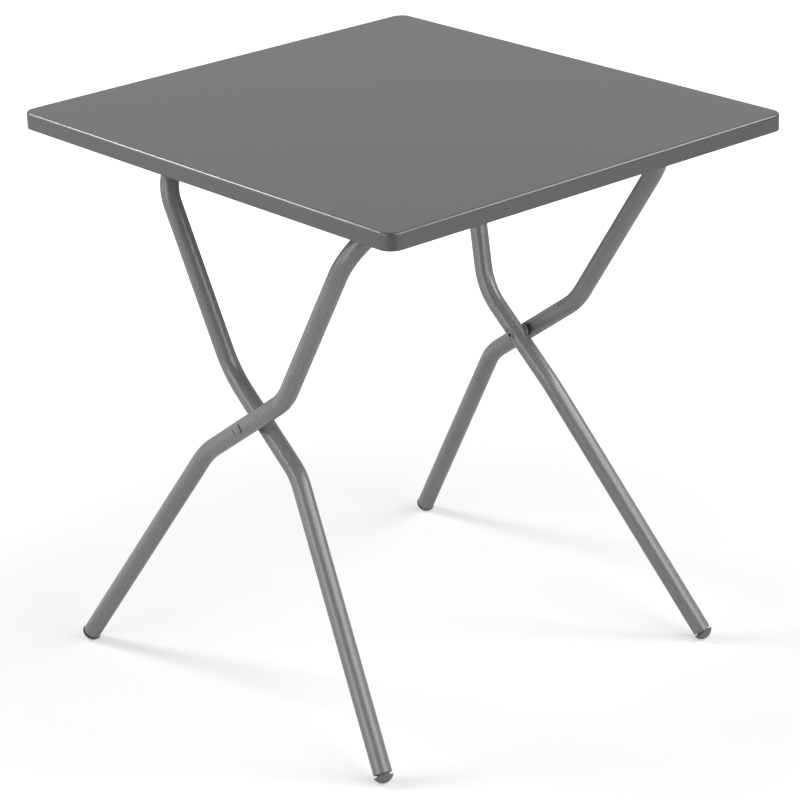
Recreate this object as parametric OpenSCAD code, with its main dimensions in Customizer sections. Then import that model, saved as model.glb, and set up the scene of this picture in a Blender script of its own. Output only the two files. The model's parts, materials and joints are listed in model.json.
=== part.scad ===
// Folding balcony table: a sheet-steel top carried by two crossing frames of bent steel tube.
// The origin is on the floor below the middle of the top. X runs along the top, from the catch
// end to the hinge end, Y runs across it and Z is up. Left is the -Y side, right the +Y side.

/* [Table] */
// Height of the top surface above the floor
table_h = 740; // [700:5:780]
// Length of the top, along X
top_l = 720; // [680:5:800]
// Width of the top, along Y
top_w = 640; // [620:5:700]

/* [Sheet top] */
// Thickness of the sheet
sheet_t = 1.2; // [0.8:0.1:2]
// Depth of the folded-down edge
skirt_h = 21.5; // [18:0.5:28]
// Radius of the corners, seen from above
corner_r = 18; // [14:1:30]
// Outside radius of the fold along the edge
fold_r = 3; // [2.5:0.5:6]
// Width of the lip turned in below the edge
hem_w = 9; // [6:0.5:12]

/* [Underside rails] */
// Distance between the two rails, centre to centre
rail_spacing = 280; // [220:5:300]
// Length of the rails and of the middle stiffener
rail_l = 640; // [560:10:660]
// Width of a rail's raised channel, outside
rail_w = 34; // [30:1:44]
// Depth of a rail below the sheet
rail_h = 12; // [8:0.5:16]
// Thickness of a rail's sheet
rail_t = 1.2; // [1:0.1:2]
// Width of each flange that is welded to the top
rail_flange_w = 10; // [8:1:16]

/* [Leg tubes] */
// Outside diameter of the tube
tube_d = 24; // [22:0.5:25]
// Wall of the tube
tube_wall = 1.5; // [1.2:0.1:2]
// Radius of the dog-leg bends, on the tube's centre line
dogleg_r = 98; // [60:1:110]

/* [Outer frame] */
// Distance of the crossbar from the middle of the table, towards the hinge end
outer_bar_x = 240; // [225:1:255]
// Width of the frame at the crossbar, between centre lines
outer_bar_w = 526; // [515:1:540]
// Radius of the bends into the crossbar, on the tube's centre line
outer_crown_r = 88; // [60:1:92]
// Width at the pivots, between centre lines
outer_waist_w = 494; // [490:1:502]
// Width at the feet, between centre lines
outer_foot_w = 600; // [590:1:612]
// Distance of the feet from the middle of the table, towards the catch end
outer_foot_x = 323; // [310:1:335]
// Slope of the stretch through the pivot, from upright
outer_mid_tilt = 55.3; // [52:0.1:58]
// Length of that stretch from the pivot down to its bend corner
outer_mid_low_l = 101; // [95:0.5:115]
// Length of that stretch from the pivot up to its bend corner
outer_mid_high_l = 104.5; // [95:0.5:115]

/* [Inner frame] */
// Distance of the crossbar from the middle of the table, towards the catch end
inner_bar_x = 166.5; // [155:0.5:180]
// Width of the frame at the crossbar, between centre lines
inner_bar_w = 509; // [495:1:520]
// Radius of the bends into the crossbar, on the tube's centre line
inner_crown_r = 60; // [50:1:80]
// Width at the pivots, between centre lines
inner_waist_w = 433; // [425:1:437]
// Width at the feet, between centre lines
inner_foot_w = 558.5; // [545:0.5:570]
// Distance of the feet from the middle of the table, towards the hinge end
inner_foot_x = 256; // [245:1:270]
// Slope of the stretch through the pivot, from upright
inner_mid_tilt = 50.1; // [47:0.1:53]
// Length of that stretch from the pivot down to its bend corner
inner_mid_low_l = 85.5; // [80:0.5:95]
// Length of that stretch from the pivot up to its bend corner
inner_mid_high_l = 77; // [72:0.5:88]

/* [Pivots] */
// Distance of the pivots from the middle of the table, towards the catch end
pivot_x = 25.5; // [20:0.5:30]
// Height of the pivots
pivot_h = 379; // [370:1:388]
// Diameter of the pivot pin
pin_d = 8; // [6:0.5:9]
// Diameter of its head
pin_head_d = 13.5; // [11:0.5:15]
// Height of the head's straight rim
pin_rim_h = 2.2; // [1.6:0.1:3]
// Height of the dome above that rim
pin_dome_h = 1.2; // [0.8:0.1:2]
// Diameter of the rolled collar at its other end
pin_collar_d = 10.6; // [10:0.2:13]
// Thickness of that collar
pin_collar_t = 1.6; // [1.2:0.1:2.4]
// Diameter of the hole left in the rolled end
pin_hole_d = 5.4; // [3:0.2:5.6]
// Depth of that hole
pin_hole_depth = 7; // [4:0.5:12]
// Chamfer on the collar's rim
pin_collar_chamfer = 0.5; // [0.2:0.1:0.8]
// Diameter of the plastic spacer between the two tubes, and of the steel washer on it
spacer_d = 18; // [14:0.5:18.5]
// Thickness of the washer, which lies against the inner tube
washer_t = 2.8; // [2.2:0.1:3.6]
// Chamfer on the rims of the spacer and the washer
spacer_chamfer = 0.7; // [0.4:0.1:1]
// Diameter of the flat pressed into the tube around the pin
dimple_d = 19.2; // [19:0.1:20]
// Depth of that flat below the tube's crown
dimple_depth = 1.6; // [0.8:0.1:2]

/* [Hinge] */
// Width of a hinge strap, along the crossbar
strap_w = 26; // [20:1:30]
// Thickness of the strap
strap_t = 2; // [1.5:0.1:3]
// Length of each strap ear beyond the strap's side
strap_ear_l = 16; // [14:1:22]
// Wall of the plastic bush inside the strap
bush_wall = 2.5; // [1.5:0.1:3.5]
// Length of the bush
bush_l = 30; // [28:1:36]
// Width of the slit that lets the bush snap over the tube
bush_slit = 4; // [2:0.5:6]

/* [Catch] */
// Width of a catch hook, along the crossbar
hook_w = 25; // [20:1:30]
// Thickness of the hook's steel strip
hook_t = 2.5; // [2:0.1:3.5]
// Length of the hook's jaw beyond the crossbar's centre
hook_reach = 15; // [10:0.5:20]
// Length of the riveted tail beside the jaw
hook_tail_l = 20; // [16:1:28]
// Wall of the plastic liner inside the jaw
liner_wall = 2; // [1.5:0.1:3]
// Length of the liner, along the crossbar
liner_l = 21; // [16:1:25]

/* [Rivets] */
// Diameter of a rivet's shank
rivet_d = 5; // [4:0.5:6]
// Diameter of its head
rivet_head_d = 9; // [8:0.5:11]
// Height of its head
rivet_head_h = 2.2; // [1.5:0.1:3]
// Diameter of its flat tail, hidden in the rail
rivet_tail_d = 8; // [7:0.5:10]
// Height of its tail
rivet_tail_h = 1.6; // [1:0.1:2.5]
// Distance between the two rivets of a hook
rivet_pitch = 13; // [12:0.5:15]

/* [Feet] */
// How far a foot's dome stands out past the tube, all round
foot_lip = 0.7; // [0:0.1:1]
// Gap between the tube's end and the dome
foot_gap = 3; // [1:0.5:5]
// Diameter of the neck seen in that gap
foot_neck_d = 16; // [12:0.5:18]
// Length of the stem inside the tube
foot_stem_l = 24; // [16:1:36]
// Distance between the ribs on the stem
foot_rib_pitch = 6; // [4:0.5:8]
// Height of each rib
foot_rib_h = 1.6; // [1:0.1:2.5]

/* [Clearances] */
// Play all round between a pin or bar and what turns on it
turn_play = 0.06; // [0.02:0.01:0.1]
// Play all round between pieces that are fixed together
fixed_play = 0.1; // [0.05:0.05:0.2]
// Play all round between a foot's ribs and the tube
stem_play = 0.15; // [0.1:0.05:0.3]
// Gap between faces that slide past each other
face_gap = 0.2; // [0.1:0.05:0.4]
// Room all round a crossbar that is centred in the catch
catch_room = 0.9; // [0.7:0.05:1.2]
// Gap left above the crossbar where the top rests on it
catch_rest = 0.3; // [0.2:0.05:0.5]

/* [Hidden] */
$fn = 64;

// Tools run past the face that they cut by this much
over = 1;
// A straight tube runs into the bend by this much, where the bend's wall is a hair thinner
bend_lap = 0.5;
bend_thinning = 0.01;

left = -1;
right = 1;
y_way = [0, 1, 0];

tube_r = tube_d / 2;
bore_r = tube_r - tube_wall;

// Levels below the top, worked out from what is stacked there
sheet_z = table_h - sheet_t;
rail_z = sheet_z - rail_h;
bush_ir = tube_r + turn_play;
bush_or = bush_ir + bush_wall;
strap_ir = bush_or + fixed_play;
strap_or = strap_ir + strap_t;
outer_bar_z = rail_z - strap_ir;
jaw_r = tube_r + catch_room;
liner_or = jaw_r + liner_wall;
hook_ir = liner_or + fixed_play;
hook_or = hook_ir + hook_t;
jaw_z = rail_z - hook_or;
inner_bar_z = jaw_z + catch_room - catch_rest;
rail_y = rail_spacing / 2;

// The foot's dome is part of a ball a little larger than the tube, which rests on the floor
dome_radius_share = 1.075;
foot_d = tube_d + 2 * foot_lip;
dome_r = foot_d / 2 * dome_radius_share;
dome_base = sqrt(dome_r * dome_r - foot_d * foot_d / 4);
tube_end = dome_base - foot_gap;

// Seats of the pins, measured across the table
pivot = [-pivot_x, 0, pivot_h];
seat_r = tube_r - dimple_depth;
boss_d = dimple_d + 2 * tube_wall;
pin_head_y = outer_waist_w / 2 + seat_r;
pin_tail_y = inner_waist_w / 2 - seat_r;
washer_in_y = inner_waist_w / 2 + seat_r + face_gap;
spacer_in_y = washer_in_y + washer_t;
spacer_out_y = outer_waist_w / 2 - seat_r;
rivet_hole_d = rivet_d + 2 * fixed_play;

top_colour = [0.44, 0.44, 0.43];
tube_colour = [0.47, 0.47, 0.45];
steel_colour = [0.62, 0.62, 0.60];
plastic_colour = [0.22, 0.22, 0.21];

// The corners of one frame's centre line on one side, from the foot up to the crossbar
outer_mid_way = [sin(outer_mid_tilt), 0, cos(outer_mid_tilt)];
inner_mid_way = [-sin(inner_mid_tilt), 0, cos(inner_mid_tilt)];
function side_path(side, foot, waist_w, mid_way, low_l, high_l, bar) = [
    [foot.x, side * foot.y, foot.z],
    pivot + side * waist_w / 2 * y_way - low_l * mid_way,
    pivot + side * waist_w / 2 * y_way + high_l * mid_way,
    [bar.x, side * bar.y, bar.z]
];
function outer_side(side) = side_path(
    side, [-outer_foot_x, outer_foot_w / 2, dome_r],
    outer_waist_w, outer_mid_way, outer_mid_low_l, outer_mid_high_l,
    [outer_bar_x, outer_bar_w / 2, outer_bar_z]
);
function inner_side(side) = side_path(
    side, [inner_foot_x, inner_foot_w / 2, dome_r],
    inner_waist_w, inner_mid_way, inner_mid_low_l, inner_mid_high_l,
    [-inner_bar_x, inner_bar_w / 2, inner_bar_z]
);
function reversed(list) = [for (i = [len(list) - 1:-1:0]) list[i]];
function frame_path(left_side, right_side) = concat(left_side, reversed(right_side));
function frame_radii(crown_r) = [
    0, dogleg_r, dogleg_r, crown_r, crown_r, dogleg_r, dogleg_r, 0
];

function unit(v) = v / norm(v);
function way_at(path, i) = unit(path[i + 1] - path[i]);
function turn_between(a, b) = atan2(norm(cross(a, b)), a * b);
// How much of each straight the bend at corner i takes up; at a path's end, how far the tube
// goes past the point
function taken(path, radii, i) =
    i == 0 || i == len(path) - 1
        ? -tube_end
        : radii[i] * tan(turn_between(way_at(path, i - 1), way_at(path, i)) / 2);

// Turns +Z into a given direction and moves the origin to a point
module facing(point, way) {
    translate(point)
        rotate([0, acos(way.z), atan2(way.y, way.x)])
            children();
}

module tube_ring(thinning) {
    difference() {
        circle(r = tube_r - thinning);
        circle(r = bore_r + thinning);
    }
}

module tube_straight(path, radii, i) {
    way = way_at(path, i);
    start = taken(path, radii, i);
    straight_l = norm(path[i + 1] - path[i]) - start - taken(path, radii, i + 1);
    start_lap = i == 0 ? 0 : bend_lap;
    end_lap = i == len(path) - 2 ? 0 : bend_lap;
    facing(path[i] + start * way, way)
        translate([0, 0, -start_lap])
            linear_extrude(straight_l + start_lap + end_lap) tube_ring(0);
}

module tube_bend(path, radii, i) {
    way = way_at(path, i - 1);
    next_way = way_at(path, i);
    inward = unit(next_way - (way * next_way) * way);
    across = cross(way, inward);
    start = path[i] - taken(path, radii, i) * way;
    multmatrix([
        [inward.x, across.x, way.x, start.x],
        [inward.y, across.y, way.y, start.y],
        [inward.z, across.z, way.z, start.z]
    ])
        translate([radii[i], 0, 0])
            rotate([90, 0, 180])
                rotate_extrude(angle = turn_between(way, next_way))
                    translate([radii[i], 0]) tube_ring(bend_thinning);
}

// One tube bent along a path, with its ends cut square
module bent_tube(path, radii) {
    for (i = [0:len(path) - 2]) tube_straight(path, radii, i);
    for (i = [1:len(path) - 2]) tube_bend(path, radii, i);
}

// The tube around a pivot: a boss inside it, a flat pressed into both sides and a hole for the pin
module pivot_boss(side, waist_w, mid_way) {
    intersection() {
        facing(pivot + side * waist_w / 2 * y_way - boss_d * mid_way, mid_way)
            cylinder(r = tube_r - tube_wall / 2, h = 2 * boss_d);
        facing(pivot + side * (waist_w / 2 - tube_r) * y_way, side * y_way)
            cylinder(d = boss_d, h = tube_d);
    }
}

module pivot_cuts(side, waist_w, hole_r) {
    facing(pivot + side * (waist_w / 2 - tube_r - over) * y_way, side * y_way) {
        cylinder(d = dimple_d, h = dimple_depth + over);
        cylinder(r = hole_r, h = tube_d + 2 * over);
        translate([0, 0, tube_d + over - dimple_depth]) cylinder(d = dimple_d, h = dimple_depth + over);
    }
}

module leg_frame(path, crown_r, waist_w, mid_way, hole_r) {
    difference() {
        union() {
            bent_tube(path, frame_radii(crown_r));
            for (side = [left, right]) pivot_boss(side, waist_w, mid_way);
        }
        for (side = [left, right]) pivot_cuts(side, waist_w, hole_r);
    }
}

module outer_leg_frame() {
    color(tube_colour)
        leg_frame(
            frame_path(outer_side(left), outer_side(right)), outer_crown_r,
            outer_waist_w, outer_mid_way, pin_d / 2 + fixed_play
        );
}

module inner_leg_frame() {
    color(tube_colour)
        leg_frame(
            frame_path(inner_side(left), inner_side(right)), inner_crown_r,
            inner_waist_w, inner_mid_way, pin_d / 2 + turn_play
        );
}

// A pin is drawn from its rolled end, inside the inner tube's flat, out to its head
module pivot_pin(side) {
    shank_l = pin_head_y - pin_tail_y + face_gap;
    collar_end_d = pin_collar_d - 2 * pin_collar_chamfer;
    dome_ball_r = (pin_head_d * pin_head_d / 4 + pin_dome_h * pin_dome_h) / (2 * pin_dome_h);
    color(steel_colour)
        facing(pivot + side * (pin_tail_y - face_gap) * y_way, side * y_way)
            difference() {
                union() {
                    cylinder(d = pin_d, h = shank_l);
                    translate([0, 0, -pin_collar_t])
                        cylinder(d1 = collar_end_d, d2 = pin_collar_d, h = pin_collar_chamfer);
                    translate([0, 0, pin_collar_chamfer - pin_collar_t])
                        cylinder(d = pin_collar_d, h = pin_collar_t - pin_collar_chamfer);
                    translate([0, 0, shank_l])
                        rotate_extrude() {
                            square([pin_head_d / 2, pin_rim_h]);
                            translate([0, pin_rim_h])
                                intersection() {
                                    translate([0, pin_dome_h - dome_ball_r]) circle(r = dome_ball_r);
                                    square([pin_head_d / 2, pin_dome_h]);
                                }
                        }
                }
                translate([0, 0, -pin_collar_t - over])
                    cylinder(d = pin_hole_d, h = pin_hole_depth + over);
            }
}

// A ring on a pin, with both rims chamfered, between two distances from the table's middle
module pin_ring(side, in_y, out_y) {
    length = out_y - in_y;
    facing(pivot + side * in_y * y_way, side * y_way)
        rotate_extrude()
            polygon([
                [pin_d / 2 + fixed_play, 0],
                [spacer_d / 2 - spacer_chamfer, 0],
                [spacer_d / 2, spacer_chamfer],
                [spacer_d / 2, length - spacer_chamfer],
                [spacer_d / 2 - spacer_chamfer, length],
                [pin_d / 2 + fixed_play, length]
            ]);
}

module pivot_washer(side) {
    color(steel_colour) pin_ring(side, washer_in_y, spacer_in_y);
}

module pivot_spacer(side) {
    color(plastic_colour) pin_ring(side, spacer_in_y, spacer_out_y);
}

// A foot is drawn from the centre of its ball, up into the tube
module foot(path) {
    stem_r = bore_r - stem_play;
    color(plastic_colour)
        facing(path[0], way_at(path, 0))
            union() {
                rotate_extrude()
                    intersection() {
                        circle(r = dome_r);
                        translate([0, -dome_r]) square([dome_r, dome_r - dome_base]);
                    }
                translate([0, 0, -dome_base])
                    cylinder(d = foot_neck_d, h = dome_base - tube_end + foot_stem_l);
                for (z = [foot_rib_h:foot_rib_pitch:foot_stem_l - foot_rib_h])
                    translate([0, 0, z - tube_end]) cylinder(r = stem_r, h = foot_rib_h);
            }
}

// A rounded rectangle's corner centres, for a corner radius measured from the top's outline
module at_corners() {
    for (turn = [0, 90, 180, 270]) {
        along_x = turn % 180 == 0;
        x = (along_x ? top_l : top_w) / 2 - corner_r;
        y = (along_x ? top_w : top_l) / 2 - corner_r;
        rotate([0, 0, turn]) translate([x, y, 0]) children();
    }
}

// Section through the top's edge, from a corner's centre outwards, with the surface at zero
module edge_outline(inset, reach, depth) {
    r = fold_r - inset;
    translate([0, -depth]) square([reach - inset, depth - inset - r]);
    translate([0, -inset - r]) square([reach - inset - r, r]);
    intersection() {
        translate([reach - inset - r, -inset - r]) circle(r = r);
        translate([reach - inset - r, -inset - r]) square(r);
    }
}

module edge_section() {
    difference() {
        edge_outline(0, corner_r, skirt_h);
        translate([-over, 0])
            edge_outline(sheet_t, corner_r + over, skirt_h + over);
    }
    translate([corner_r - hem_w, -skirt_h]) square([hem_w - sheet_t / 2, sheet_t]);
}

module table_top() {
    color(top_colour)
        translate([0, 0, table_h])
            union() {
                at_corners() rotate_extrude(angle = 90) edge_section();
                for (turn = [0, 90, 180, 270]) {
                    along_x = turn % 180 == 0;
                    run = (along_x ? top_w : top_l) - 2 * corner_r;
                    out = (along_x ? top_l : top_w) / 2 - corner_r;
                    rotate([0, 0, turn])
                        translate([out, run / 2, 0])
                            rotate([90, 0, 0]) linear_extrude(run) edge_section();
                }
                translate([corner_r - top_l / 2, corner_r - top_w / 2, -sheet_t])
                    cube([top_l - 2 * corner_r, top_w - 2 * corner_r, sheet_t]);
            }
}

// A top-hat channel, welded to the sheet by its two flanges
module hat_section() {
    out = rail_w / 2;
    flange = out + rail_flange_w;
    polygon([
        [-flange, 0], [-flange, -rail_t], [-out, -rail_t], [-out, -rail_h],
        [out, -rail_h], [out, -rail_t], [flange, -rail_t], [flange, 0],
        [out - rail_t, 0], [out - rail_t, rail_t - rail_h],
        [rail_t - out, rail_t - rail_h], [rail_t - out, 0]
    ]);
}

module hat_channel(y) {
    translate([rail_l / 2, y, sheet_z]) rotate([90, 0, -90]) linear_extrude(rail_l) hat_section();
}

module rivet_holes(side) {
    for (place = concat(hinge_rivet_places(side), catch_rivet_places(side)))
        translate([place.x, place.y, rail_z - over]) cylinder(d = rivet_hole_d, h = rail_t + 2 * over);
}

module underside_rail(side) {
    color(top_colour)
        difference() {
            hat_channel(side * rail_y);
            rivet_holes(side);
        }
}

module centre_stiffener() {
    color(top_colour) hat_channel(0);
}

// A strap that hangs the crossbar below a rail, drawn in section across the bar
module strap_section() {
    difference() {
        union() {
            circle(r = strap_or);
            translate([-strap_or, 0]) square([2 * strap_or, strap_ir]);
            translate([-strap_or - strap_ear_l, strap_ir - strap_t])
                square([2 * (strap_or + strap_ear_l), strap_t]);
        }
        circle(r = strap_ir);
        translate([-strap_ir, 0]) square([2 * strap_ir, strap_ir + over]);
        translate([-strap_or, strap_ir]) square([2 * strap_or, strap_t + over]);
    }
}

function strap_rivet_x(end) = outer_bar_x + end * (strap_or + strap_ear_l / 2);
function hinge_rivet_places(side) = [for (end = [-1, 1]) [strap_rivet_x(end), side * rail_y]];
hook_rivet_x = -inner_bar_x - hook_or - hook_tail_l / 2;
function catch_rivet_places(side) = [
    for (end = [-1, 1]) [hook_rivet_x, side * rail_y + end * rivet_pitch / 2]
];

// Draws a section across the bar, in X and Z, over a length centred on one rail
module across_rail(side, bar_x, bar_z, length) {
    translate([bar_x, side * rail_y + length / 2, bar_z])
        rotate([90, 0, 0])
            linear_extrude(length) children();
}

module hinge_strap(side) {
    color(top_colour)
        difference() {
            across_rail(side, outer_bar_x, outer_bar_z, strap_w) strap_section();
            for (place = hinge_rivet_places(side))
                translate([place.x, place.y, rail_z - strap_t - over])
                    cylinder(d = rivet_hole_d, h = strap_t + 2 * over);
        }
}

module hinge_bush(side) {
    color(plastic_colour)
        across_rail(side, outer_bar_x, outer_bar_z, bush_l)
            difference() {
                circle(r = bush_or);
                circle(r = bush_ir);
                translate([-bush_slit / 2, 0]) square([bush_slit, bush_or + over]);
            }
}

// The shape of an open jaw, filled: a round back with a straight mouth
module jaw_outline(r, reach) {
    circle(r = r);
    translate([0, -r]) square([reach, 2 * r]);
}

module catch_liner(side) {
    color(plastic_colour)
        across_rail(side, -inner_bar_x, jaw_z, liner_l)
            difference() {
                jaw_outline(liner_or, hook_reach);
                jaw_outline(jaw_r, hook_reach + over);
            }
}

// The hook's strip: a tail and an upper arm in one, a round back and a lower arm
module hook_section() {
    translate([-hook_or - hook_tail_l, hook_ir]) square([hook_or + hook_tail_l + hook_reach, hook_t]);
    intersection() {
        difference() {
            circle(r = hook_or);
            circle(r = hook_ir);
        }
        translate([-hook_or, -hook_or]) square([hook_or, hook_or + hook_ir]);
    }
    translate([0, -hook_or]) square([hook_reach, hook_t]);
}

module catch_hook(side) {
    color(top_colour)
        difference() {
            across_rail(side, -inner_bar_x, jaw_z, hook_w) hook_section();
            for (place = catch_rivet_places(side))
                translate([place.x, place.y, rail_z - hook_t - over])
                    cylinder(d = rivet_hole_d, h = hook_t + 2 * over);
        }
}

// A rivet through a plate and a rail's floor, with its domed head below
module rivet(place, plate_t) {
    ball_r = (rivet_head_d * rivet_head_d / 4 + rivet_head_h * rivet_head_h) / (2 * rivet_head_h);
    translate([place.x, place.y, rail_z - plate_t]) {
        rotate_extrude()
            intersection() {
                translate([0, ball_r - rivet_head_h]) circle(r = ball_r);
                translate([0, -rivet_head_h]) square([rivet_head_d / 2, rivet_head_h]);
            }
        cylinder(d = rivet_d, h = plate_t + rail_t);
        translate([0, 0, plate_t + rail_t]) cylinder(d = rivet_tail_d, h = rivet_tail_h);
    }
}

module hinge_rivets() {
    color(steel_colour)
        for (side = [left, right]) for (place = hinge_rivet_places(side)) rivet(place, strap_t);
}

module catch_rivets() {
    color(steel_colour)
        for (side = [left, right]) for (place = catch_rivet_places(side)) rivet(place, hook_t);
}

table_top();
underside_rail(left);  // underside_rail_left
underside_rail(right);  // underside_rail_right
centre_stiffener();
hinge_strap(left);  // hinge_strap_left
hinge_strap(right);  // hinge_strap_right
hinge_bush(left);  // hinge_bush_left
hinge_bush(right);  // hinge_bush_right
hinge_rivets();
catch_hook(left);  // catch_hook_left
catch_hook(right);  // catch_hook_right
catch_liner(left);  // catch_liner_left
catch_liner(right);  // catch_liner_right
catch_rivets();
outer_leg_frame();
inner_leg_frame();
pivot_pin(left);  // pivot_pin_left
pivot_pin(right);  // pivot_pin_right
pivot_spacer(left);  // pivot_spacer_left
pivot_spacer(right);  // pivot_spacer_right
pivot_washer(left);  // pivot_washer_left
pivot_washer(right);  // pivot_washer_right
foot(outer_side(left));  // outer_foot_left
foot(outer_side(right));  // outer_foot_right
foot(inner_side(left));  // inner_foot_left
foot(inner_side(right));  // inner_foot_right
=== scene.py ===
# %% [markdown]
# # A folding balcony table in sheet steel and bent tube
#
# The table is a pressed sheet-steel top on two crossing U frames. Its shape is already made: the
# packed model is loaded as a fixed frame, and every part of it stays exactly where it is. This
# lesson adds what the shape alone can't show: the powder coats, plated steel and moulded plastic,
# the small spot-weld marks below the top, a plain studio and the camera.

import json
import math

import bpy
from mathutils import Euler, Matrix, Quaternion, Vector


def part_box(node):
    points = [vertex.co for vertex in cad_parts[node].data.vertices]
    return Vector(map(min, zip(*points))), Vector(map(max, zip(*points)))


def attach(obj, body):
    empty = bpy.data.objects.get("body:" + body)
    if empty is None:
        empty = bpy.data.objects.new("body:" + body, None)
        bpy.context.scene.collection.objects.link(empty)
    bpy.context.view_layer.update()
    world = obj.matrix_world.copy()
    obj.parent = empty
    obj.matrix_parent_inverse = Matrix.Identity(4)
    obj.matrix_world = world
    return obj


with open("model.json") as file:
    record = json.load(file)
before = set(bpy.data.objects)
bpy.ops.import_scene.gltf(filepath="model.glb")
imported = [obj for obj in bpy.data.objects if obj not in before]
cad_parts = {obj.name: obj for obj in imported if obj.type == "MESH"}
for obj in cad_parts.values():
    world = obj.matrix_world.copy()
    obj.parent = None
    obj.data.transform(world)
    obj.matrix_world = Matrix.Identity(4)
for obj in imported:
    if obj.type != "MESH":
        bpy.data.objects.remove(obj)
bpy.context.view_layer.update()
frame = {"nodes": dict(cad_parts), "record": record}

# %% [markdown]
# ## One small language for shaders
#
# A material in Blender is a graph of nodes. It could be wired by hand in the editor, or node by
# node in Python, but both are long and hard to read. Here a Wire stands for one output of the graph
# and understands +, - and *, so a formula looks like a formula. Each operator has a reflected form
# too, which Python uses when the number comes first, as in 1 - mask.

# %% Wires
class Wire:
    """One output of a node graph, which can be added, subtracted and scaled like a number."""

    def __init__(self, graph, socket):
        self.graph = graph
        self.socket = socket

    def maths(self, operation, first, second):
        settings = {"operation": operation}
        return self.graph.node("ShaderNodeMath", settings, {0: first, 1: second})

    def __add__(self, other):
        return self.maths("ADD", self, other)

    def __sub__(self, other):
        return self.maths("SUBTRACT", self, other)

    def __mul__(self, other):
        return self.maths("MULTIPLY", self, other)

    def __rsub__(self, other):
        return self.maths("SUBTRACT", other, self)

    __radd__ = __add__
    __rmul__ = __mul__


operators = [name for name in vars(Wire) if name.endswith(("add__", "sub__", "mul__"))]
print("a wire overloads", operators)

# %% [markdown]
# ## Every other node
#
# Not all nodes are maths. A long list of helpers, one for each kind of node, would be another way.
# One method is enough: it takes the node's type, its settings, which are set first, and the values
# or wires of its inputs. It gives back the output that was asked for, as a wire.

# %% Graphs
class Graph:
    """A node tree with one way to add a node."""

    def __init__(self, tree):
        self.tree = tree
        tree.nodes.clear()

    def node(self, kind, settings=None, inputs=None, output=0):
        made = self.tree.nodes.new(kind)
        for name, value in (settings or {}).items():
            setattr(made, name, value)
        for key, value in (inputs or {}).items():
            if isinstance(value, Wire):
                self.tree.links.new(value.socket, made.inputs[key])
            else:
                made.inputs[key].default_value = value
        return Wire(self, made.outputs[output]) if made.outputs else made


print("a graph adds a node with", Graph.node.__qualname__)

# %% [markdown]
# ## What all the finishes share
#
# Paint, plating and plastic are told apart by how big their grain is and how they shine. An image
# texture would need unwrapping and would blur close up, so the grain is worked out from noise. Each
# finish reads Object coordinates, which are metres on every piece, so a grain of 1.5 mm is 1.5 mm
# on the crossbar and on a pin alike. Noise of one to three octaves gives the grain, and a second,
# larger noise makes the tone drift a little.

# %% Helpers for finishes
def shade(value):
    """A grey, or a colour of three values, with full alpha."""
    red, green, blue = value if isinstance(value, tuple) else (value, value, value)
    return (red, green, blue, 1.0)


def noise(graph, place, size, octaves=2.0, roughness=0.5):
    """Noise from 0 to 1 whose lumps are about the given size in metres."""
    return graph.node(
        "ShaderNodeTexNoise",
        inputs={"Vector": place, "Scale": 1.0 / size, "Detail": octaves, "Roughness": roughness},
    )


def blend_colours(graph, amount, first, second):
    """The first colour where amount is 0 and the second where it is 1."""
    return graph.node(
        "ShaderNodeMix", {"data_type": "RGBA"},
        {"Factor": amount, "A": shade(first), "B": shade(second)}, output=2,
    )


def bump(graph, height, depth):
    """Relief of the given depth in metres, from a height between 0 and 1."""
    return graph.node("ShaderNodeBump", inputs={"Height": height, "Distance": depth})


def finish_graph(name):
    """A new material, its empty graph and the Object coordinates in it."""
    material = bpy.data.materials.new(name)
    material.use_nodes = True
    graph = Graph(material.node_tree)
    place = graph.node("ShaderNodeTexCoord", output=3)
    return material, graph, place


def close_graph(graph, settings):
    """Ends the graph in one Principled shader with the given sockets."""
    shader = graph.node("ShaderNodeBsdfPrincipled", inputs=settings)
    graph.node("ShaderNodeOutputMaterial", inputs={"Surface": shader})


finishes = {}


def keep_finish(slot, material):
    """Files a finish under the slot name that the loaded parts use."""
    finishes[slot] = material
    print(slot, "is", material.name, "with", len(material.node_tree.nodes), "nodes")


print("finishes so far:", len(finishes))

# %% [markdown]
# ## The smooth powder coat of the sheet steel
#
# The top, its rails, and the straps and hooks below it are sheet steel with one powder coat, a
# plastic skin melted onto the metal. It flows out almost flat, but never quite: lumps a millimetre
# or two across and two hundredths of a millimetre high break a reflection into the soft pebbled
# look called orange peel. A flat glossy grey would look like lacquer, and a rough one would lose
# the bright lines on the folded edge. So the coat is rather smooth, and the peel is only a faint
# relief.

# %% Sheet paint
SHEET_GREY = (0.074, 0.074, 0.072)
SHEET_GREY_PALE = (0.079, 0.079, 0.077)
SHEET_DRIFT_SIZE = 0.22
SHEET_ROUGHNESS, SHEET_ROUGHNESS_DRIFT = 0.23, 0.03
SHEET_SHINE = 0.85
PEEL_SIZE = 0.0018
PEEL_DEPTH = 0.00002


def sheet_paint():
    material, graph, place = finish_graph("smooth_powder_coat")
    drift = noise(graph, place, SHEET_DRIFT_SIZE)
    peel = noise(graph, place, PEEL_SIZE, octaves=1.0)
    close_graph(graph, {
        "Base Color": blend_colours(graph, drift, SHEET_GREY, SHEET_GREY_PALE),
        "Roughness": SHEET_ROUGHNESS + SHEET_ROUGHNESS_DRIFT * drift,
        "Normal": bump(graph, peel, PEEL_DEPTH),
        "Specular IOR Level": SHEET_SHINE,
    })
    return material


keep_finish("sheet_paint", sheet_paint())

# %% [markdown]
# ## The textured powder coat of the tubes
#
# The legs and their pivot pins have a coarser powder: close up the tube is covered in fine pale
# and dark grains, and its highlight is broad and silky. Grains could be scattered as tiny bumps,
# which is far too much geometry for what the eye sees. They are drawn twice from one noise instead,
# as relief and as a change of tone, so that a pale grain is also a raised one. The noise gathers
# around its middle value, so it is stretched before it picks a tone.

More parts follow.
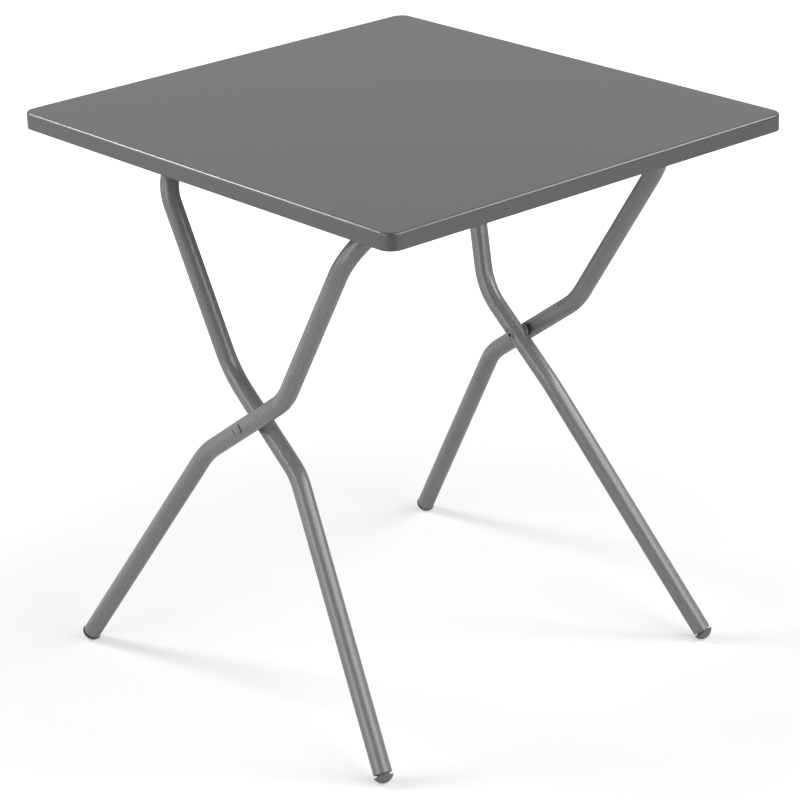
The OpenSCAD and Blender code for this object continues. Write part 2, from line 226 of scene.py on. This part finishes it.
# %% Tube paint
TUBE_GREY = (0.136, 0.136, 0.132)
TUBE_GREY_PALE = (0.276, 0.276, 0.268)
TUBE_DRIFT_SIZE = 0.09
TUBE_ROUGHNESS, TUBE_ROUGHNESS_GRAIN = 0.2, 0.08
TUBE_SHINE = 0.72
GRAIN_SIZE = 0.0015
GRAIN_DEPTH = 0.00006
GRAIN_CONTRAST = 2.2
GRAIN_SHARE = 0.8


def tube_paint():
    material, graph, place = finish_graph("textured_powder_coat")
    grain = noise(graph, place, GRAIN_SIZE, octaves=3.0, roughness=0.6)
    drift = noise(graph, place, TUBE_DRIFT_SIZE)
    speckle = GRAIN_CONTRAST * grain - (GRAIN_CONTRAST - 1.0) / 2
    tone = GRAIN_SHARE * speckle + (1.0 - GRAIN_SHARE) * drift
    close_graph(graph, {
        "Base Color": blend_colours(graph, tone, TUBE_GREY, TUBE_GREY_PALE),
        "Roughness": TUBE_ROUGHNESS + TUBE_ROUGHNESS_GRAIN * grain,
        "Normal": bump(graph, grain, GRAIN_DEPTH),
        "Specular IOR Level": TUBE_SHINE,
    })
    return material


keep_finish("tube_paint", tube_paint())

# %% [markdown]
# ## Plated steel
#
# The rivets and the washers at the pivots are headed or stamped steel under a thin zinc plate: a
# cloudy metal with fine scratches that all run one way. A photograph of zinc could be wrapped
# around them, but noise needs no unwrapping. The clouds come from a noise of 4 mm. The scratches
# come from one that is squeezed along Y, which costs one Mapping node.

# %% Steel
STEEL_GREY = (0.3, 0.3, 0.29)
STEEL_GREY_PALE = (0.42, 0.42, 0.41)
STEEL_ROUGHNESS, STEEL_ROUGHNESS_CLOUD = 0.38, 0.15
CLOUD_SIZE = 0.004
SCRATCH_SIZE = 0.0012
SCRATCH_DEPTH = 0.00002
SCRATCH_SQUEEZE = (1.0, 12.0, 1.0)


def plated_steel():
    material, graph, place = finish_graph("zinc_plated_steel")
    cloud = noise(graph, place, CLOUD_SIZE, octaves=3.0)
    squeezed = graph.node("ShaderNodeMapping", inputs={"Vector": place, "Scale": SCRATCH_SQUEEZE})
    scratch = noise(graph, squeezed, SCRATCH_SIZE, octaves=2.0)
    close_graph(graph, {
        "Base Color": blend_colours(graph, cloud, STEEL_GREY, STEEL_GREY_PALE),
        "Metallic": 1.0,
        "Roughness": STEEL_ROUGHNESS + STEEL_ROUGHNESS_CLOUD * cloud,
        "Normal": bump(graph, scratch, SCRATCH_DEPTH),
    })
    return material


keep_finish("plain_steel", plated_steel())

# %% [markdown]
# ## Moulded plastic
#
# The glides in the tubes' ends are grey plastic. The bushes, the catch liners and the spacers at
# the pivots are nearly black. All of them come from moulds with a spark-eroded, matt and even
# grain. Two materials could be written out in full, but one function makes both, because only the
# colours differ.

# %% Plastic
PLASTIC_ROUGHNESS, PLASTIC_ROUGHNESS_GRAIN = 0.5, 0.12
MOULD_GRAIN_SIZE = 0.0007
MOULD_GRAIN_DEPTH = 0.00004
MOULD_DRIFT_SIZE = 0.012


def moulded_plastic(name, colour, pale_colour):
    material, graph, place = finish_graph(name)
    grain = noise(graph, place, MOULD_GRAIN_SIZE, octaves=2.0)
    drift = noise(graph, place, MOULD_DRIFT_SIZE)
    close_graph(graph, {
        "Base Color": blend_colours(graph, drift, colour, pale_colour),
        "Roughness": PLASTIC_ROUGHNESS + PLASTIC_ROUGHNESS_GRAIN * grain,
        "Normal": bump(graph, grain, MOULD_GRAIN_DEPTH),
    })
    return material


GREY_PLASTIC = ((0.15, 0.15, 0.145), (0.185, 0.185, 0.18))
BLACK_PLASTIC = ((0.012, 0.012, 0.012), (0.02, 0.02, 0.02))
keep_finish("grey_plastic", moulded_plastic("grey_plastic", *GREY_PLASTIC))
keep_finish("black_plastic", moulded_plastic("black_plastic", *BLACK_PLASTIC))

# %% [markdown]
# ## Painting the loaded parts
#
# Each loaded part names the record's slot that it takes its finish from. It would be possible to
# paint the parts one by one, but the slots already say which pieces share a coat. Each part's own
# material is swapped for the better one, and nothing else about it changes.

# %% Assign the finishes
slot_of_node = {entry["node"]: entry["material_slot"] for entry in frame["record"]["subparts"]}
for node_name, part in frame["nodes"].items():
    part.data.materials.clear()
    part.data.materials.append(finishes[slot_of_node[node_name]])
print("painted:", len(frame["nodes"]), "parts in", len(finishes), "finishes")

# %% [markdown]
# ## Choosing what an operator works on
#
# A modelling operator works on all that is selected. By hand, a face is clicked. In a script there
# is nothing to click, and the loaded parts are still selected, so everything is deselected first,
# and faces are then chosen by a rule, such as the way that they point.

# %% Selecting in code
def deselect_all():
    for thing in bpy.context.selected_objects:
        thing.select_set(False)


def select_faces(thing, wanted):
    """In edit mode, selects the faces for which wanted(face) is true."""
    bpy.ops.object.mode_set(mode="EDIT")
    bpy.ops.mesh.select_mode(type="FACE")
    bpy.ops.mesh.select_all(action="DESELECT")
    bpy.ops.object.mode_set(mode="OBJECT")
    for face in thing.data.polygons:
        face.select = wanted(face)
    bpy.ops.object.mode_set(mode="EDIT")


deselect_all()
print("selected now:", len(bpy.context.selected_objects))

# %% [markdown]
# ## One spot-weld mark
#
# The rails and the middle stiffener are welded to the sheet through their flanges, at a row of
# spots. Each leaves a shallow round dish with a low rim where the electrode pressed. A bump map
# could fake it in a picture, but the mesh would stay flat, so the mark is modelled: a short disc
# whose lower face is inset and pushed back up, then inset again for a small rise in the middle.

# %% Model the mark
WELD_RADIUS = 0.0032
WELD_HEIGHT = 0.0003
WELD_RIM = 0.0007
WELD_SIDES = 24
DISH_SHARE = 0.7
RISE_SHARE = 0.2
FACES_DOWN = -0.9


def weld_mark():
    """A dished disc that hangs below the origin."""
    deselect_all()
    bpy.ops.mesh.primitive_cylinder_add(
        vertices=WELD_SIDES, radius=WELD_RADIUS, depth=WELD_HEIGHT,
        location=(0.0, 0.0, -WELD_HEIGHT / 2),
    )
    mark = bpy.context.active_object
    select_faces(mark, lambda face: face.normal.z < FACES_DOWN)
    bpy.ops.mesh.inset(thickness=WELD_RIM)
    bpy.ops.transform.translate(value=(0.0, 0.0, WELD_HEIGHT * DISH_SHARE))
    bpy.ops.mesh.inset(thickness=WELD_RIM * 2)
    bpy.ops.transform.translate(value=(0.0, 0.0, -WELD_HEIGHT * RISE_SHARE))
    bpy.ops.object.mode_set(mode="OBJECT")
    bpy.ops.object.transform_apply(location=True, rotation=True, scale=True)
    return mark


pattern_mark = weld_mark()
print("one mark has", len(pattern_mark.data.polygons), "faces")

# %% [markdown]
# ## Rows of marks along the flanges
#
# A welder sets the spots at an even pitch, in the middle of both flanges of each channel. The one
# finished mark is copied to every spot, each copy with a mesh of its own, and the copies of one
# channel are joined into one piece that rides on the tabletop. An array modifier would do for one
# row, but a joined piece holds both rows and keeps its place in its mesh.

# %% Copy the mark along each channel
WELD_PITCH = 0.078
FLANGE_INSET = 0.0045
FLANGE_THICKNESS = 0.0012
SMOOTH_ANGLE = math.radians(40)


def copy_to(pattern, place):
    """A copy of the pattern, with a mesh of its own."""
    deselect_all()
    pattern.select_set(True)
    bpy.context.view_layer.objects.active = pattern
    bpy.ops.object.duplicate(linked=False)
    copy = bpy.context.active_object
    copy.location = place
    return copy


def weld_row(channel, name):
    low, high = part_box(channel)
    count = int((high.x - low.x) / WELD_PITCH)
    first_x = (low.x + high.x - (count - 1) * WELD_PITCH) / 2
    flange_z = high.z - FLANGE_THICKNESS
    marks = [
        copy_to(pattern_mark, (first_x + i * WELD_PITCH, y, flange_z))
        for y in (low.y + FLANGE_INSET, high.y - FLANGE_INSET)
        for i in range(count)
    ]
    deselect_all()
    for mark in marks:
        mark.select_set(True)
    bpy.context.view_layer.objects.active = marks[0]
    bpy.ops.object.join()
    row = bpy.context.active_object
    row.name = name
    bpy.ops.object.transform_apply(location=True, rotation=True, scale=True)
    bpy.ops.object.shade_smooth_by_angle(angle=SMOOTH_ANGLE)
    row.data.materials.clear()
    row.data.materials.append(finishes["sheet_paint"])
    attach(row, "tabletop")
    print(name, "has", len(marks), "marks")


weld_row("underside_rail_left", "weld_marks_left")
weld_row("underside_rail_right", "weld_marks_right")
weld_row("centre_stiffener", "weld_marks_middle")
bpy.data.objects.remove(pattern_mark)

# %% [markdown]
# ## The camera
#
# The picture was taken with a long lens from the front corner, 22 degrees above the level. Such a
# view can't be guessed by eye: a small error in distance changes how the far legs shrink. The place
# and the turn were worked out from the edges of the tubes, the feet and the top's corners, so the
# two crossing frames line up with the photograph.

# %% Camera
PICTURE_PIXELS = 800
SENSOR_WIDTH = 36.0
FOCAL_PIXELS = 3040.0
CAMERA_PLACE = (2.7976, -2.3559, 1.8144)
CAMERA_TURN = (68.191, 2.138, 49.201)
SIGHT_END = 100.0

camera_data = bpy.data.cameras.new("camera")
camera_data.sensor_width = SENSOR_WIDTH
camera_data.sensor_fit = "HORIZONTAL"
camera_data.lens = FOCAL_PIXELS / PICTURE_PIXELS * SENSOR_WIDTH
camera_data.clip_end = SIGHT_END
camera = bpy.data.objects.new("camera", camera_data)
camera.location = CAMERA_PLACE
camera.rotation_euler = Euler([math.radians(angle) for angle in CAMERA_TURN])
bpy.context.scene.collection.objects.link(camera)
bpy.context.scene.camera = camera
print("lens", round(camera_data.lens, 1), "mm")

# %% [markdown]
# ## What each kind of ray sees
#
# A studio has one look for the camera and another in reflections: the photographer hides dark cards
# and bright walls where only the object sees them. They could be modelled as panels, but the Light
# Path node tells the kinds of rays apart, so one surface can do both. Map Range makes soft fades
# between two brightnesses, over a distance or a direction.

# %% Fades and rays
def fade(graph, value, start, end, first, last):
    """Goes softly from first to last while the value goes from start to end."""
    return graph.node(
        "ShaderNodeMapRange", {"interpolation_type": "SMOOTHSTEP"},
        {"Value": value, "From Min": start, "From Max": end, "To Min": first, "To Max": last},
    )


def along(graph, place, way):
    """How far a place lies along a way."""
    return graph.node(
        "ShaderNodeVectorMath", {"operation": "DOT_PRODUCT"}, {0: place, 1: way}, output=1,
    )


def ray_kinds(graph):
    """Two wires, which are 1 on the camera's rays and on reflected rays."""
    return (
        graph.node("ShaderNodeLightPath", output=0),
        graph.node("ShaderNodeLightPath", output=3),
    )


print("helpers for the studio:", fade.__name__, along.__name__, ray_kinds.__name__)

# %% [markdown]
# ## The studio floor
#
# The table stands on a pale matt floor. A white background could be had by more and more light,
# which would bleach the table too. So the floor glows by itself, for the camera and in reflections,
# but not as light on the table. The camera sees it glow less close to the feet, where it keeps
# their shadow. In reflections it fades away from the left, so the rounded corner that faces us is
# darker than both skirts.

# %% Floor
TO_LEFT = (-0.5, -0.866, 0.0)
FLOOR_RADIUS = 30.0
FLOOR_SIDES = 96
FLOOR_WHITE = 0.7
FLOOR_GLOW_NEAR = 0.4
FLOOR_GLOW_STARTS, FLOOR_GLOW_FULL = 0.5, 1.6
FLOOR_MIRRORED_LEFT = 0.26
FLOOR_MIRRORED_ELSEWHERE = 0.02
FLOOR_FADE_STARTS, FLOOR_FADE_ENDS = 0.0, 0.8


def pale_floor():
    deselect_all()
    bpy.ops.mesh.primitive_circle_add(
        vertices=FLOOR_SIDES, radius=FLOOR_RADIUS, fill_type="NGON",
    )
    floor = bpy.context.active_object
    floor.name = "floor"
    material, graph, place = finish_graph("pale_floor")
    seen, mirrored = ray_kinds(graph)
    far = graph.node("ShaderNodeVectorMath", {"operation": "LENGTH"}, {0: place}, output=1)
    glow_seen = fade(graph, far, FLOOR_GLOW_STARTS, FLOOR_GLOW_FULL, FLOOR_GLOW_NEAR, 1.0)
    glow_mirrored = fade(
        graph, along(graph, place, TO_LEFT), FLOOR_FADE_STARTS, FLOOR_FADE_ENDS,
        FLOOR_MIRRORED_ELSEWHERE, FLOOR_MIRRORED_LEFT,
    )
    glow = glow_seen * seen + glow_mirrored * mirrored
    close_graph(graph, {
        "Base Color": shade(FLOOR_WHITE),
        "Roughness": 1.0,
        "Specular IOR Level": 0.0,
        "Emission Color": blend_colours(graph, glow, 0.0, 1.0),
        "Emission Strength": 1.0,
    })
    floor.data.materials.append(material)
    return floor


floor = pale_floor()
print("the floor is", round(floor.dimensions.x), "m across")

# %% [markdown]
# ## The white room
#
# Around the table is only air, which the camera sees as white. Walls could be modelled, but the
# world shader is one node graph that surrounds everything. Reflections see it too: the top mirrors
# the pale far side of the room, which makes it the brightest face of the table. Towards the camera
# the room is darker, as a studio is behind the photographer, or the tubes' fronts would turn milky.
# As light on the table the room gives next to nothing, because the lamps do that.

# %% Room
TO_CAMERA = (0.76, -0.65, 0.0)
ROOM_LIGHT = 0.06
ROOM_MIRRORED_FAR = 0.57
ROOM_MIRRORED_NEAR = 0.15
ROOM_FADE_STARTS, ROOM_FADE_ENDS = 0.1, 0.7


def white_room():
    world = bpy.data.worlds.new("white_room")
    bpy.context.scene.world = world
    world.use_nodes = True
    graph = Graph(world.node_tree)
    seen, mirrored = ray_kinds(graph)
    way = graph.node("ShaderNodeTexCoord", output=0)
    glow_mirrored = fade(
        graph, along(graph, way, TO_CAMERA), ROOM_FADE_STARTS, ROOM_FADE_ENDS,
        ROOM_MIRRORED_FAR, ROOM_MIRRORED_NEAR,
    )
    strength = ROOM_LIGHT + (1.0 - ROOM_LIGHT) * seen + glow_mirrored * mirrored
    air = graph.node("ShaderNodeBackground", inputs={"Color": shade(1.0), "Strength": strength})
    graph.node("ShaderNodeOutputWorld", inputs={"Surface": air})


white_room()
print("the world is", bpy.context.scene.world.name, "and gives", ROOM_LIGHT, "as light")

# %% [markdown]
# ## The lamps
#
# A wide soft wall to the left, with a smaller one in front of it, lights the long skirt and the
# left sides of the tubes. A softbox to the right draws the pale streak along their right sides,
# and a low one reaches in under the top for the streak on the upper arms. Two lamps, one beyond
# each of the top's far sides, are mirrored in the folded edge as fine bright lines. The right one
# is a tilted strip, because a small bright square would leave hot spots on the tubes' bends. One
# big lamp above would be simpler, but it would leave the skirts dark and the tubes without a
# streak.

# %% Lamps
TABLE_MIDDLE = Vector((0.0, 0.0, 0.5))
LAMP_DISTANCE = 3.2
LAMP_AXIS = Vector((0.0, 0.0, 1.0))
# name, azimuth from +X towards +Y, elevation and tilt in degrees, width and height in metres, watts
LAMPS = (
    ("left_wall", 241.0, 12.0, 0.0, 4.0, 2.2, 32.0),
    ("left_front_wall", 275.0, 10.0, 0.0, 1.6, 2.0, 20.0),
    ("right_softbox", 8.0, 30.0, 0.0, 2.4, 2.1, 55.0),
    ("right_low_softbox", 14.0, 4.0, 0.0, 1.7, 0.5, 9.0),
    ("left_edge_lamp", 207.5, 37.0, 0.0, 0.9, 0.9, 46.0),
    ("right_edge_lamp", 51.0, 35.5, -31.0, 1.1, 1.6, 36.0),
)


def soft_lamp(name, azimuth, elevation, tilt, width, height, power):
    """A rectangular lamp that faces the table, tilted about its own middle."""
    turn, rise = math.radians(azimuth), math.radians(elevation)
    level = math.cos(rise)
    way = Vector((math.cos(turn) * level, math.sin(turn) * level, math.sin(rise)))
    data = bpy.data.lights.new(name, "AREA")
    data.shape = "RECTANGLE"
    data.size = width
    data.size_y = height
    data.energy = power
    lamp = bpy.data.objects.new(name, data)
    lamp.location = TABLE_MIDDLE + way * LAMP_DISTANCE
    facing = (-way).to_track_quat("-Z", "Y")
    lamp.rotation_euler = (facing @ Quaternion(LAMP_AXIS, math.radians(tilt))).to_euler()
    bpy.context.scene.collection.objects.link(lamp)


for lamp_values in LAMPS:
    soft_lamp(*lamp_values)
print("lamps:", len(LAMPS), "with", sum(values[-1] for values in LAMPS), "watts in all")

# %% [markdown]
# ## Colours
#
# Standard is the view that shows a colour as it was written.

# %% Show colours as written
bpy.context.scene.view_settings.view_transform = "Standard"
